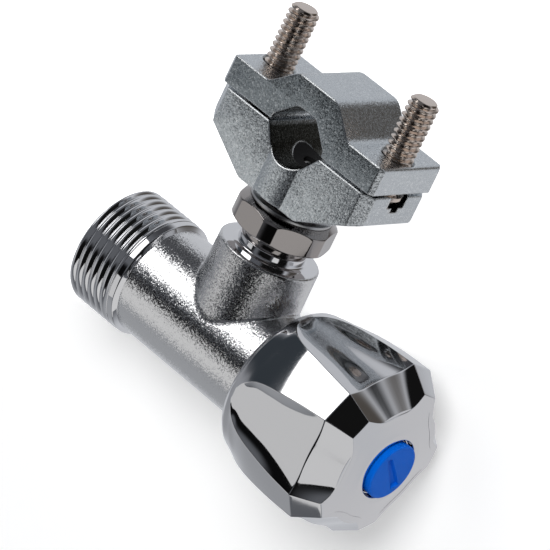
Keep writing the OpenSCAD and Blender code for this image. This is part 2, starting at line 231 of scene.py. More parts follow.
def addNode(owner, kind, settings=None, links=()):
    # a node with its settings, and links given as (socket here, node, socket there)
    node = owner.node_tree.nodes.new("ShaderNode" + kind)
    for key, value in (settings or {}).items():
        if isinstance(key, int) or key in node.inputs:
            node.inputs[key].default_value = value
        else:
            setattr(node, key, value)
    for socket, source, output in links:
        join(owner, node, socket, source, output)
    return node


def newMaterial(name, settings):
    # gives the material and its surface node, which is joined to the output
    material = emptied(bpy.data.materials.new(name))
    surface = addNode(material, "BsdfPrincipled", settings)
    addNode(material, "OutputMaterial", {}, [("Surface", surface, "BSDF")])
    return material, surface


def grain(material, surface, perMm, depth, detail, gloss=None):
    # fine noise on object coordinates, so many grains to a millimetre and so deep in
    # millimetres: a bump, and where asked a roughness that varies with it
    add = partial(addNode, material)
    coords = add("TexCoord")
    noise = add("TexNoise", {"Scale": perMm / toMetres, "Detail": detail, "Roughness": 0.6},
                [("Vector", coords, "Object")])
    bump = add("Bump", {"Strength": 1.0, "Distance": depth * toMetres}, [("Height", noise, "Fac")])
    join(material, surface, "Normal", bump, "Normal")
    if gloss:
        span = add("MapRange", {"From Min": 0.3, "From Max": 0.7, "To Min": gloss[0], "To Max": gloss[1]},
                   [("Value", noise, "Fac")])
        join(material, surface, "Roughness", span, "Result")
    return bump


def sparkle(material, surface, bump, perMm, tilt):
    # small facets, so many to a millimetre and each leaning its own way: a random vector per
    # cell, as long as tilt at most, is added to the normal
    add = partial(addNode, material)
    coords = add("TexCoord")
    facets = add("TexVoronoi", {"Scale": perMm / toMetres}, [("Vector", coords, "Object")])
    lean = add("VectorMath", {"operation": "SUBTRACT", 1: (0.5, 0.5, 0.5)}, [(0, facets, "Color")])
    small = add("VectorMath", {"operation": "SCALE", "Scale": tilt}, [(0, lean, "Vector")])
    tilted = add("VectorMath", {"operation": "ADD"}, [(0, bump, "Normal"), (1, small, "Vector")])
    unit = add("VectorMath", {"operation": "NORMALIZE"}, [(0, tilted, "Vector")])
    join(material, surface, "Normal", unit, "Vector")
    return unit


# chrome plate on a sand-cast and tumbled brass body: bright, with the casting's grain under
# it. The grains are drawn near half a millimetre wide, coarser than real ones, so they show.
castChrome, surface = newMaterial("satinChromeOnCastBrass", {
    "Base Color": linear("#e6e6e7"), "Metallic": 1.0})
bump = grain(castChrome, surface, 2.3, 0.05, 4.0, gloss=(0.04, 0.10))
sparkle(castChrome, surface, bump, 4.8, 0.17)

# the same plate where the casting was not tumbled smooth: duller, with a deeper grain
bossChrome, surface = newMaterial("satinChromeOnRawCasting", {
    "Base Color": linear("#d8d8d9"), "Metallic": 1.0})
bump = grain(bossChrome, surface, 2.3, 0.07, 4.0, gloss=(0.08, 0.20))
sparkle(bossChrome, surface, bump, 4.8, 0.24)

# chrome plate on turned brass: a mirror
mirrorChrome, _ = newMaterial("mirrorChromePlate", {
    "Base Color": linear("#e3e3e5"), "Metallic": 1.0, "Roughness": 0.05})

# chrome plate on a moulded knob: a mirror with a very faint waviness
knobChrome, surface = newMaterial("chromePlatedKnob", {
    "Base Color": linear("#dcdcde"), "Metallic": 1.0, "Roughness": 0.06})
grain(knobChrome, surface, 0.09, 0.01, 1.0)

# zinc die casting with a tumbled, blue-grey skin: fine sparkling grain, soft reflections. Grain,
# facets and specks are so many to a millimetre, the reaches are millimetres from the pipe's axis
# and from an edge, and the levels are where a pattern starts and is full.
zincSkin = {"grain": 2.1, "grainDepth": 0.08, "gloss": (0.14, 0.36), "facets": 5.0, "tilt": 0.2,
            "specks": 2.6, "speckLevels": (0.54, 0.68), "frontFacingLevels": (0.85, 0.97),
            "channelSkinAndShadeTone": "#484945", "channelSkinAndShadeReach": (7.0, 6.6),
            "edgeHighlightTone": "#f0f2f3", "edgeReach": 0.55, "edgeLevels": (0.995, 0.92), "edgeGloss": 0.45}


def castZinc(name, skin, frontFacing):
    # The two tone pairs are each a ground tone and the tone of its bright specks: the first for
    # most faces, the second for faces that look towards -Y. Near the pipe's axis, where a face
    # doesn't look towards -Y, the channel takes a dark tone: painted shade in that recess, with the
    # dull as-cast skin that tumbling doesn't reach. Edges, found where the rounded normal leaves
    # the flat one, are rubbed smoother and take a paler tone that is a painted highlight.
    z = zincSkin
    material, surface = newMaterial(name, {"Metallic": 1.0})
    add = partial(addNode, material)
    bump = grain(material, surface, z["grain"], z["grainDepth"], 3.0, gloss=z["gloss"])
    dull = surface.inputs["Roughness"].links[0].from_node   # the grain's own roughness

    def levels(pair, source, output):
        return add("MapRange", {"From Min": pair[0], "From Max": pair[1]}, [("Value", source, output)])

    def mixed(share, first, second):
        # a share between two colours, each a hex value or a (node, output) pair
        sides = (("Color1", first), ("Color2", second))
        settings = {key: linear(side) for key, side in sides if isinstance(side, str)}
        links = [(key, *side) for key, side in sides if not isinstance(side, str)]
        return add("MixRGB", settings, [("Fac", *share)] + links), "Color"

    coords = add("TexCoord")
    flat = add("NewGeometry")
    specks = add("TexNoise", {"Scale": z["specks"] / toMetres, "Detail": 2.0, "Roughness": 0.6},
                 [("Vector", coords, "Object")])
    speckShare = levels(z["speckLevels"], specks, "Fac"), "Result"
    toFront = add("VectorMath", {"operation": "DOT_PRODUCT", 1: (0.0, -1.0, 0.0)}, [(0, flat, "Normal")])
    front = levels(z["frontFacingLevels"], toFront, "Value")
    tone = mixed((front, "Result"), mixed(speckShare, *skin), mixed(speckShare, *frontFacing))

    # painted shade with the dull as-cast skin: the channel near the pipe's axis, away from the faces towards
    # -Y, takes the dark channel tone
    across = add("VectorMath", {"operation": "MULTIPLY", 1: (1.0, 0.0, 1.0)}, [(0, coords, "Object")])
    away = add("VectorMath", {"operation": "LENGTH"}, [(0, across, "Vector")])
    inside = levels([reach * toMetres for reach in z["channelSkinAndShadeReach"]], away, "Value")
    aside = add("Math", {"operation": "SUBTRACT", 0: 1.0}, [(1, front, "Result")])
    channelSkinAndShade = add("Math", {"operation": "MULTIPLY"}, [(0, inside, "Result"), (1, aside, "Value")])
    tone = mixed((channelSkinAndShade, "Value"), tone, z["channelSkinAndShadeTone"])

    soft = add("Bevel", {"samples": 6, "Radius": z["edgeReach"] * toMetres})
    join(material, bump, "Normal", soft, "Normal")
    agree = add("VectorMath", {"operation": "DOT_PRODUCT"}, [(0, flat, "Normal"), (1, soft, "Normal")])
    edge = levels(z["edgeLevels"], agree, "Value")
    # painted highlight: the edges take the pale edge tone in their base colour
    join(material, surface, "Base Color", *mixed((edge, "Result"), tone, z["edgeHighlightTone"]))
    grainy = sparkle(material, surface, bump, z["facets"], z["tilt"])
    join(material, surface, "Normal", *mixed((edge, "Result"), (grainy, "Vector"), (soft, "Normal")))
    rubbed = add("MapRange", {"To Min": 1.0, "To Max": z["edgeGloss"]}, [("Value", edge, "Result")])
    gloss = add("Math", {"operation": "MULTIPLY"}, [(0, dull, "Result"), (1, rubbed, "Result")])
    join(material, surface, "Roughness", gloss, "Value")
    return material


lowerZinc = castZinc("dieCastZinc", ("#c6cbcf", "#e6eaec"), ("#cfd5d8", "#eceff1"))
# the upper half: its faces that look towards -Y take a much darker tone
upperZinc = castZinc("dieCastZincDarkFront", ("#cdd2d6", "#e6eaec"), ("#90979b", "#c2c7ca"))

# bright nickel plate on steel: a warm mirror
nickel, surface = newMaterial("brightNickelPlate", {
    "Base Color": linear("#dccfc5"), "Metallic": 1.0, "Roughness": 0.17})
grain(nickel, surface, 2.2, 0.01, 2.0)

# bright nickel on the milled nut: smoother and a little darker
nutNickel, surface = newMaterial("nickelPlatedNut", {
    "Base Color": linear("#a5a09e"), "Metallic": 1.0, "Roughness": 0.10})
grain(nutNickel, surface, 0.5, 0.01, 2.0)

# stainless steel strip, stamped: plain soft sheen
steel, _ = newMaterial("stampedStainlessSteel", {
    "Base Color": linear("#b9babb"), "Metallic": 1.0, "Roughness": 0.28})

# turned brass: yellow, fine tool marks too small to show
brass, _ = newMaterial("turnedBrass", {
    "Base Color": linear("#d9b46a"), "Metallic": 1.0, "Roughness": 0.25})

# moulded rubber: matte black
rubber, _ = newMaterial("mouldedRubber", {
    "Base Color": linear("#1b1b1c"), "Metallic": 0.0, "Roughness": 0.7, "IOR": 1.5})

# moulded and coloured plastic: even blue with a soft gloss
bluePlastic, _ = newMaterial("mouldedBluePlastic", {
    "Base Color": linear("#006ae2"), "Metallic": 0.0, "Roughness": 0.5, "IOR": 1.45,
    "Specular IOR Level": 0.15})
print("materials made")

# Cast body: thread sleeve with its ring, tube, boss with its cast foot, and turned spigot.
# A turned outline is a list of (along, radius, fillet).
castBody = {"tubeRadius": 12.1, "tubeStart": -20.2, "outletX": -34.0, "mouthRadius": 12.0,
            "threadRadius": 13.22, "threadEnd": -21.9, "ringRadius": 13.1, "ringEnd": -20.45,
            "endX": 17.0, "endRadius": 11.75, "bore": 8.6, "headBore": 9.0, "chamberX": 5.0,
            "chamberBore": 8.2, "seatX": -3.6, "seatRim": 5.6, "seatBore": 4.2,
            "bossRadius": 10.7, "bossFoot": 10.8, "bossTop": 20.5, "bossEdge": 0.5, "footFillet": 0.7,
            "spigotRadius": 7.2, "spigotTop": 22.6, "under": 0.02}
b = castBody
outletThread = {"start": b["outletX"] - 0.6, "end": b["threadEnd"], "lead": 1.814, "depth": 0.45,
                "crest": 0.0, "root": 0.02, "round": True, "fade": (0.01, 1.2),
                "radius": b["threadRadius"], "inner": 10.5, "step": 0.07}
threadSleeve = turnedPiece("outletThread", "x", [
    (b["outletX"] + 0.1, b["bore"] + 0.15, 0.15), (b["outletX"], b["bore"] + 0.4, 0.15),
    (b["outletX"], b["mouthRadius"], 0.3), (b["outletX"] + 0.9, b["threadRadius"], 0.2),
    (b["threadEnd"] - 0.1, b["threadRadius"]), (b["threadEnd"], b["ringRadius"], 0.1),
    (b["ringEnd"], b["ringRadius"], 0.25), (b["ringEnd"] + 0.55, b["tubeRadius"] + 0.02, 0.1),
    (b["ringEnd"] + 1.05, b["tubeRadius"] - 0.5), (b["ringEnd"] + 1.05, b["bore"])],
    360, mirrorChrome, "valve", outletThread, closed=True, angle=75)
tube = turnedPiece("castTube", "x", [
    (b["tubeStart"], b["bore"]), (b["tubeStart"], b["tubeRadius"]),
    (b["endX"] - 3.4, b["tubeRadius"], 0.3), (b["endX"] - 2.9, b["endRadius"], 0.2),
    (b["endX"], b["endRadius"], 0.3), (b["endX"], b["headBore"], 0.1),
    (b["chamberX"], b["headBore"]), (b["chamberX"], b["chamberBore"]),
    (-b["chamberX"], b["chamberBore"], 0.3), (-b["chamberX"], b["seatRim"], 0.3),
    (b["seatX"], b["seatRim"], 0.2), (b["seatX"], b["seatBore"], 0.2),
    (b["seatX"] - 5.4, b["seatBore"], 0.2), (b["seatX"] - 8.4, b["bore"], 0.2)],
    192, castChrome, "valve", closed=True)
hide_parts("valve_body")


def bossGrid(columns=256):
    # the boss wall from its top down, then a fillet that flares out on to the tube's surface
    # and closes inside the tube's wall; at each turn the foot follows the tube's roundness
    turn = np.arange(columns) * tau / columns
    across = np.abs(np.sin(turn))
    level = np.ones(columns)

    def tubeTop(reach):
        return np.sqrt(np.maximum(b["tubeRadius"] ** 2 - (reach * across) ** 2, 0.05))

    room = 0.985 * b["tubeRadius"] / np.maximum(across, 0.2) - b["bossFoot"]
    flare = np.minimum(b["footFillet"], np.maximum(room, 0.05))
    outer = b["bossFoot"] + flare
    footTop = tubeTop(b["bossFoot"]) + flare
    top, edge = b["bossTop"] - b["under"], b["bossEdge"]   # just under the spigot's flat rim
    rows = [(0 * level, top * level)]
    for t in np.linspace(0, math.pi / 2, 7):
        r = b["bossRadius"] - edge + edge * math.sin(t)
        rows.append((r * level, (top - edge + edge * math.cos(t)) * level))
    for t in np.linspace(0.05, 1, 16):
        r = b["bossRadius"] + (b["bossFoot"] - b["bossRadius"]) * t
        rows.append((r * level, (top - edge) * (1 - t) + footTop * t))
    for t in np.linspace(0.08, 1, 12):
        z = curve(footTop, footTop - flare, tubeTop(outer), t)
        rows.append((curve(b["bossFoot"], b["bossFoot"], outer, t), z))
    for t in np.linspace(0.1, 1, 10):
        r = outer * (1 - t)
        rows.append((r, tubeTop(r) - 1.0))
    r, z = (np.array(part) for part in zip(*rows))
    return np.stack([r * np.cos(turn), r * np.sin(turn), z], -1)


boss = finishMesh("castBoss", gridMesh("castBoss", bossGrid()), bossChrome, "valve", 40)
spigot = turnedPiece("turnedSpigot", "z", [
    (b["bossTop"] - 2.5, 0.0), (b["bossTop"] - 2.5, 10.0), (b["bossTop"], 10.28, 0.08),
    (b["bossTop"] + 0.06, b["spigotRadius"] + 0.7, 0.5), (b["bossTop"] + 0.4, b["spigotRadius"], 0.3),
    (b["spigotTop"], b["spigotRadius"], 0.25), (b["spigotTop"], 0.0)], 160, mirrorChrome, "valve")
print("body made")

# Nipple: shoulder and fine pipe thread, with the bore for the cutter
nippleSize = {"radius": 6.58, "shoulder": 6.63, "shoulderLow": 22.5, "shoulderTop": 23.6, "low": 18.0,
              "lowRadius": 5.5, "top": 36.4, "tipChamfer": 0.8, "bore": 1.8}
n = nippleSize
nippleThread = {"start": n["shoulderTop"] + 0.1, "end": n["top"] + 0.4, "lead": 1.337, "depth": 0.82,
                "crest": 0.15, "root": 0.15, "round": False, "fade": (0.5, 0.01),
                "radius": n["radius"], "inner": 3.5, "step": 0.11}
nipple = turnedPiece("threadedNipple", "z", [
    (n["low"], n["bore"]), (n["low"], n["lowRadius"]), (n["shoulderLow"], n["lowRadius"]),
    (n["shoulderLow"], n["shoulder"], 0.1), (n["shoulderTop"], n["shoulder"], 0.15),
    (n["shoulderTop"] + 0.1, n["radius"]), (n["top"] - n["tipChamfer"], n["radius"]),
    (n["top"], n["radius"] - n["tipChamfer"], 0.1), (n["top"], n["bore"])],
    144, nutNickel, "valve", nippleThread, closed=True)
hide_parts("inlet_nipple")

# Lock nut: the hexagon cut by a turned profile, so that the corners are turned off
nutSize = {"flats": 19.8, "corner": 10.59, "low": 25.0, "top": 30.8, "bore": 6.64, "boreChamfer": 0.5,
           "turn": -9.5, "lowChamfer": (0.8, 0.6), "topChamfer": (1.7, 1.2), "hexagonFrom": 8.5,
           "ridgeRound": 0.10}


def nutGrid(columns=720):
    # radius: the smaller of the profile's and the hexagon's, flats / 2 / cos(angle off a flat)
    q = nutSize
    low, top, rim, mouth = q["low"], q["top"], q["corner"], q["bore"] + q["boreChamfer"]
    path = roundedPath([
        (low + q["boreChamfer"], q["bore"]), (low, mouth, 0.1), (low, rim - q["lowChamfer"][0], 0.12),
        (low + q["lowChamfer"][1], rim, 0.15), (top - q["topChamfer"][1], rim, 0.3),
        (top, rim - q["topChamfer"][0], 0.12), (top, mouth, 0.1),
        (top - q["boreChamfer"], q["bore"])], closed=True)

    # a fine step in millimetres where the hexagon cuts the profile, a coarse one elsewhere
    def pieces(a, b):
        sloping = min(a[1], b[1]) > q["hexagonFrom"] and abs(a[0] - b[0]) > 0.01
        return np.linalg.norm(b - a) / (0.07 if sloping else 4)

    path = refined(path, pieces)
    height, radius = path[:, :1], path[:, 1:]
    turn = np.arange(columns)[None, :] * tau / columns
    off = (turn - math.radians(q["turn"])) % (tau / 6) - tau / 12
    cut = blendMin(radius, q["flats"] / 2 / np.cos(off), q["ridgeRound"])
    r = np.where(radius > q["hexagonFrom"], cut, radius)
    return np.stack([r * np.cos(turn), r * np.sin(turn), height + 0 * turn], -1)


nut = finishMesh("lockNut", gridMesh("lockNut", nutGrid(), True), nutNickel, "nut", 50)
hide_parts("lock_nut")
washerSize = {"low": 30.8, "top": 31.5, "bore": 6.95, "radius": 8.78}
washer = turnedPiece("nutWasher", "z", [
    (washerSize["low"], washerSize["bore"], 0.05), (washerSize["low"], washerSize["radius"], 0.15),
    (washerSize["top"], washerSize["radius"], 0.15), (washerSize["top"], washerSize["bore"], 0.05)],
    96, steel, "washer", closed=True)
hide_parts("nut_washer")
print("nipple and nut made")

# Clamp halves: an outline in X and Z carried across the pipe, with rounded rims, corner
# chamfers and the holes for the screws. A hole is (low, high, radius). Each screw has a
# pocket for its collar, that pocket's floor, a neck and a way for its drive end. The middle
# has the nipple's thread, the cutter's hole and the seal's seat.
clamp = {"half": 21.4, "width": 19.5, "lowTop": 46.7, "lowEnd": 40.4, "low": 33.0, "flat": 8.0,
         "upLow": 47.3, "flange": 53.3, "arch": 58.7, "peak": 5.4, "foot": 11.3, "lowChamfer": 2.3,
         "upChamfer": 0.9, "rim": 0.14, "pipe": 6.0, "pipeZ": pipeHeight, "channelEnd": 55, "screwX": 17.0,
         "screwHoles": [(44.2, 48.0, math.hypot(4.4, 2.5)), (43.2, 44.6, math.sqrt(4.4 ** 2 + 0.9)),
                        (40.0, 43.5, 2.06), (32.0, 41.5, 3.7)],
         "middleHoles": [(32.0, 38.5, 6.64), (38.0, 39.6, 2.0), (39.3, 46.0, 4.6)],
         "tappedHole": (45.0, 56.0, 3.235), "countersink": (3.175, 3.85)}
q = clamp


def slabGrid(outline, chamfer, rim):
    # the outline drawn at a row of stations across the pipe: drawn in a little at the two
    # rims by its own normals, and held inside the plan's corner chamfers
    pts = refined(roundedPath(outline, True, 4), lambda a, b: np.linalg.norm(b - a) / 0.45, closed=True)
    ahead, behind = np.roll(pts, -1, 0) - pts, pts - np.roll(pts, 1, 0)
    sense = np.sign(np.sum(pts[:, 0] * np.roll(pts[:, 1], -1) - np.roll(pts[:, 0], -1) * pts[:, 1]))

    def unit(v):
        return v / np.maximum(np.linalg.norm(v, axis=1, keepdims=True), 1e-9)

    normal = unit(unit(ahead) + unit(behind))
    inward = np.stack([-normal[:, 1], normal[:, 0]], -1) * sense
    half = q["width"] / 2
    quarter = np.linspace(0, math.pi / 2, 5)
    stations = [(-half + rim * (1 - math.cos(a)), rim * (1 - math.sin(a))) for a in quarter]
    stations += [(y, 0.0) for y in np.linspace(-half + rim, -half + chamfer + 0.001, 6)[1:]]
    stations += [(-y, drawn) for y, drawn in reversed(stations)]
    rows = []
    for y, drawn in stations:
        p = pts + inward * drawn
        reach = q["half"] - max(0.0, abs(y) - (half - chamfer)) - drawn * 0.4
        rows.append(np.stack([np.clip(p[:, 0], -reach, reach), np.full(len(p), y), p[:, 1]], -1))
    return np.array(rows)


def cutterBar(low, high, radius, x, top=None, columns=96):
    # a plain bar or cone along Z, used only to cut
    outline = np.array([(low, 0.0), (low, radius), (high, radius if top is None else top), (high, 0.0)])
    grid = turnedGrid("z", outline, columns) + np.array([x, 0, 0])
    return addObject("cutter", cleaned(gridMesh("cutter", grid)))


def clampHalf(name, outline, chamfer, cutters, material, body):
    # the outline's slab with a flat face at each end, less its holes
    grid = slabGrid(outline, chamfer, q["rim"])
    rows, cols = grid.shape[:2]
    ends = [range(cols), range(rows * cols - 1, (rows - 1) * cols - 1, -1)]
    slab = addObject(name, cleaned(gridMesh(name, grid), caps=ends))
    piece = finishMesh(name, carved(slab, cutters), material, body, 24)
    return piece


def channelPoint(degrees):
    # a point of the round channel, so many degrees round from its lowest point
    a = math.radians(degrees)
    return q["pipe"] * math.sin(a), q["pipeZ"] - q["pipe"] * math.cos(a)


# above its round part the lower channel has straight sides, up to rimX at the clamp's gap
roundX, roundZ = channelPoint(q["channelEnd"])
rimX = roundX + (q["lowTop"] - roundZ) / math.tan(math.radians(q["channelEnd"]))
channel = [channelPoint(a) for a in range(q["channelEnd"], -q["channelEnd"] - 1, -5)]
lowerOutline = [(-q["half"], q["lowTop"], 0.3), (-q["half"], q["lowEnd"], 0.8), (-q["flat"], q["low"], 0.8),
                (q["flat"], q["low"], 0.8), (q["half"], q["lowEnd"], 0.8), (q["half"], q["lowTop"], 0.3),
                (rimX, q["lowTop"], 0.3), *channel, (-rimX, q["lowTop"], 0.3)]
screwPlaces = (-q["screwX"], q["screwX"])
lowerCutters = [cutterBar(*hole, x) for x in screwPlaces for hole in q["screwHoles"]]
lowerCutters += [cutterBar(*hole, 0) for hole in q["middleHoles"]]
lowerHalf = clampHalf("lowerClampHalf", lowerOutline, q["lowChamfer"], lowerCutters, lowerZinc, "saddle")
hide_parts("front_saddle")

# the upper channel has three flats and two straight sides
flatX = q["pipe"] * math.tan(math.radians(22.5))
flatZ = q["pipeZ"] + q["pipe"]
rimZ = flatZ - (rimX - flatX)
upperRight = [(q["peak"], q["arch"], 1.3), (q["foot"], q["flange"], 0.9), (q["half"], q["flange"], 0.9),
              (q["half"], q["upLow"], 0.3), (rimX, q["upLow"], 0.3), (rimX, rimZ, 0.9), (flatX, flatZ, 0.9)]
upperLeft = [(-x, z, fillet) for x, z, fillet in reversed(upperRight)]
upperOutline = upperLeft[3:] + upperRight + upperLeft[:3]
upperCutters = []
for x in screwPlaces:
    sink = cutterBar(q["flange"] - 0.6, q["flange"] + 0.05, q["countersink"][0], x, q["countersink"][1])
    upperCutters += [cutterBar(*q["tappedHole"], x), sink]
upperHalf = clampHalf("upperClampHalf", upperOutline, q["upChamfer"], upperCutters, upperZinc, "back")
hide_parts("back_saddle")

hubSize = {"low": 32.5, "hollowTop": 38.4, "bore": 6.64, "lipRadius": 8.6, "radius": 10.5, "top": 43.0,
           "sealLow": 39.0, "sealBore": 4.7}


def hubGrid(columns=192):
    # a turned hub whose top follows the round bottom of the pipe channel where that is lower
    h = hubSize
    path = roundedPath([
        (h["hollowTop"], h["bore"]), (h["low"], h["bore"], 0.1), (h["low"], h["lipRadius"] - 0.22, 0.2),
        (h["low"] + 0.5, h["lipRadius"], 0.1), (h["low"] + 0.5, h["radius"], 0.5),
        (h["top"], h["radius"], 0.2), (h["top"], h["sealBore"]), (h["sealLow"], h["sealBore"])], closed=True)
    path = refined(path, lambda a, b: np.linalg.norm(b - a) / 0.5, closed=True)
    grid = turnedGrid("z", path, columns)
    bottom = q["pipeZ"] - np.sqrt(np.maximum(q["pipe"] ** 2 - grid[..., 0] ** 2, 0))
    grid[..., 2] = np.minimum(grid[..., 2], bottom)
    return grid


hub = finishMesh("clampHub", gridMesh("clampHub", hubGrid(), True), lowerZinc, "saddle", 30)
print("clamp halves made")

# Clamp screws: cone shoulder, neck, a coarse thread with a chamfered tip and a driving slot
screwSize = {"radius": 3.175, "low": 39.9, "neck": 2.0, "webTop": 43.3, "coneLow": 2.5, "shoulder": 46.4,
             "collar": 4.3, "tip": 66.3, "tipChamfer": 0.85, "slotLength": 10.0, "slotWidth": 0.8,
             "slotDepth": 0.8}
w = screwSize
screwThread = {"start": w["shoulder"] + 0.2, "end": w["tip"] + 0.5, "lead": 1.27, "depth": 0.74,
               "crest": 0.14, "root": 0.2, "round": False, "fade": (0.5, 0.01),
               "radius": w["radius"], "inner": 2.2, "step": 0.11}
screwOutline = [
    (w["low"], 0.0), (w["low"], w["neck"], 0.15), (w["webTop"], w["neck"]), (w["webTop"], w["coneLow"]),
    (w["shoulder"] - 0.8, w["collar"], 0.15), (w["shoulder"], w["collar"], 0.15),
    (w["shoulder"], w["radius"] + 0.075), (w["shoulder"] + 0.2, w["radius"]),
    (w["tip"] - w["tipChamfer"], w["radius"], 0.1),
    (w["tip"], w["radius"] - w["tipChamfer"], 0.15), (w["tip"], 0.0)]
boxFaces = np.array([(0, 1, 3, 2), (4, 6, 7, 5), (0, 4, 5, 1), (2, 3, 7, 6), (0, 2, 6, 4), (1, 5, 7, 3)])
screws = (("screw_left", "clamp_screw_left"), ("screw_right", "clamp_screw_right"))
for x, (body, node) in zip(screwPlaces, screws):
    screw = turnedPiece("clampScrew", "z", screwOutline, 96, nickel, body, screwThread, atX=x)
    corners = [(x + a * w["slotLength"] / 2, c * w["slotWidth"] / 2, w["low"] + z)
               for a in (-1, 1) for c in (-1, 1) for z in (-1, w["slotDepth"])]
    slot = addObject("cutter", polyMesh("cutter", np.array(corners), boxFaces))
    screw = finishMesh(body, carved(screw, [slot]), nickel, body, 30)
    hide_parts(node)
print("screws made")

# Knob: lobed outlines at stations along the axis. Each row of side and front is x, lobe
# radius, flute radius, the share of the way round that the lobe's flat takes, and how flat
# the lobe is. Rows of inside are x and radius. The dome of the face falls off outside
# faceRadius, and the chamfer runs over the length chamferDeep.
knob = {"lobes": 5, "phase": 1.0, "edgeRound": 0.2, "ridgeRound": 0.10, "lobedRadius": 13.9,
        "faceX": 46.5, "faceRadius": 8.2, "domeFall": 1.7, "chamferX": 39.6, "chamferDeep": 5.2,
        "inside": [(32.4, 0.0), (32.4, 8.6), (24.1, 8.6), (24.1, 13.2), (15.4, 13.2), (15.1, 13.5),
                   (15.0, 14.3)],
        "side": [(15.0, 14.9, 14.9, 0.94, 0), (15.5, 15.8, 15.8, 0.94, 0), (16.3, 16.5, 16.5, 0.94, 0),
                 (17.6, 17.2, 17.1, 0.87, 0.1), (18.4, 17.5, 17.2, 0.74, 0.2), (19.6, 18.0, 17.2, 0.64, 0.4),
                 (21.5, 18.5, 17.2, 0.53, 0.7), (24.6, 19.1, 17.2, 0.45, 0.85),
                 (29.0, 19.6, 17.3, 0.39, 0.85), (34.0, 19.95, 17.6, 0.33, 0.85),
                 (39.6, 20.1, 18.0, 0.28, 0.85)],
        "front": [(44.8, 16.4, 13.0, 0.22, 1), (46.5, 8.2, 8.2, 0.22, 0), (46.56, 6.95, 6.95, 0.22, 0),
                  (46.4, 6.72, 6.72, 0.22, 0), (45.0, 6.7, 6.7, 0.22, 0), (45.0, 6.35, 6.35, 0.22, 0),
                  (43.0, 6.35, 6.35, 0.22, 0), (43.0, 0.0, 0.0, 0.22, 0)]}
k = knob


def smoothRows(rows, count):
    # monotone cubic through the rows, so that the side swells without a ripple
    rows = np.array(rows, float)
    x, y = rows[:, 0], rows[:, 1:]
    h = np.diff(x)[:, None]
    slope = np.diff(y, axis=0) / h
    same = slope[:-1] * slope[1:] > 0
    mean = np.where(same, 2 * slope[:-1] * slope[1:] / np.where(same, slope[:-1] + slope[1:], 1), 0)
    tangent = np.concatenate([slope[:1], mean, slope[-1:]])
    at = np.linspace(x[0], x[-1], count)
    i = np.clip(np.searchsorted(x, at) - 1, 0, len(x) - 2)
    t = ((at - x[i]) / h[i, 0])[:, None]
    p = (2 * t ** 3 - 3 * t ** 2 + 1) * y[i] + (t ** 3 - 2 * t ** 2 + t) * h[i] * tangent[i]
    p += (-2 * t ** 3 + 3 * t ** 2) * y[i + 1] + (t ** 3 - t ** 2) * h[i] * tangent[i + 1]
    return np.concatenate([at[:, None], p], 1)


def knobPath():
    # rows resampled evenly along the profile, averaged over a short window that rounds the
    # corners, then thinned where the profile is straight
    ring = [(x, r, r, 0.94, 0) for x, r in k["inside"]]
    rows = np.concatenate([np.array(ring), smoothRows(k["side"], 300), np.array(k["front"])])
    away = np.concatenate([[0], np.cumsum(np.linalg.norm(np.diff(rows[:, :2], axis=0), axis=1))])
    spacing = 0.05
    at = np.arange(0, away[-1], spacing)
    dense = np.stack([np.interp(at, away, column) for column in rows.T], 1)
    window = int(k["edgeRound"] / spacing) * 2 + 1
    pad = window // 2
    wide = np.concatenate([np.repeat(dense[:1], pad, 0), dense, np.repeat(dense[-1:], pad, 0)])
    total = np.cumsum(np.concatenate([np.zeros((1, 5)), wide]), 0)
    mean = (total[window:] - total[:-window]) / window
    mean[0], mean[-1] = rows[0], rows[-1]
    heading = np.diff(mean[:, :2], axis=0)
    heading /= np.maximum(np.linalg.norm(heading, axis=1, keepdims=True), 1e-9)
    bend = np.concatenate([[0], np.arccos(np.clip(np.sum(heading[1:] * heading[:-1], 1), -1, 1)), [0]])
    weight = np.cumsum(0.05 + np.minimum(bend * 6, 1.0))   # grows slowly on a straight, fast in a bend
    picks = np.unique(np.searchsorted(weight, np.arange(0, weight[-1], 0.62)))
    return mean[np.unique(np.concatenate([[0], picks, [len(mean) - 1]]))]


def ease(count):
    # shares from 0 to 1 that lie closer together at both ends
    return 0.5 - 0.5 * np.cos(np.linspace(0, math.pi, count))


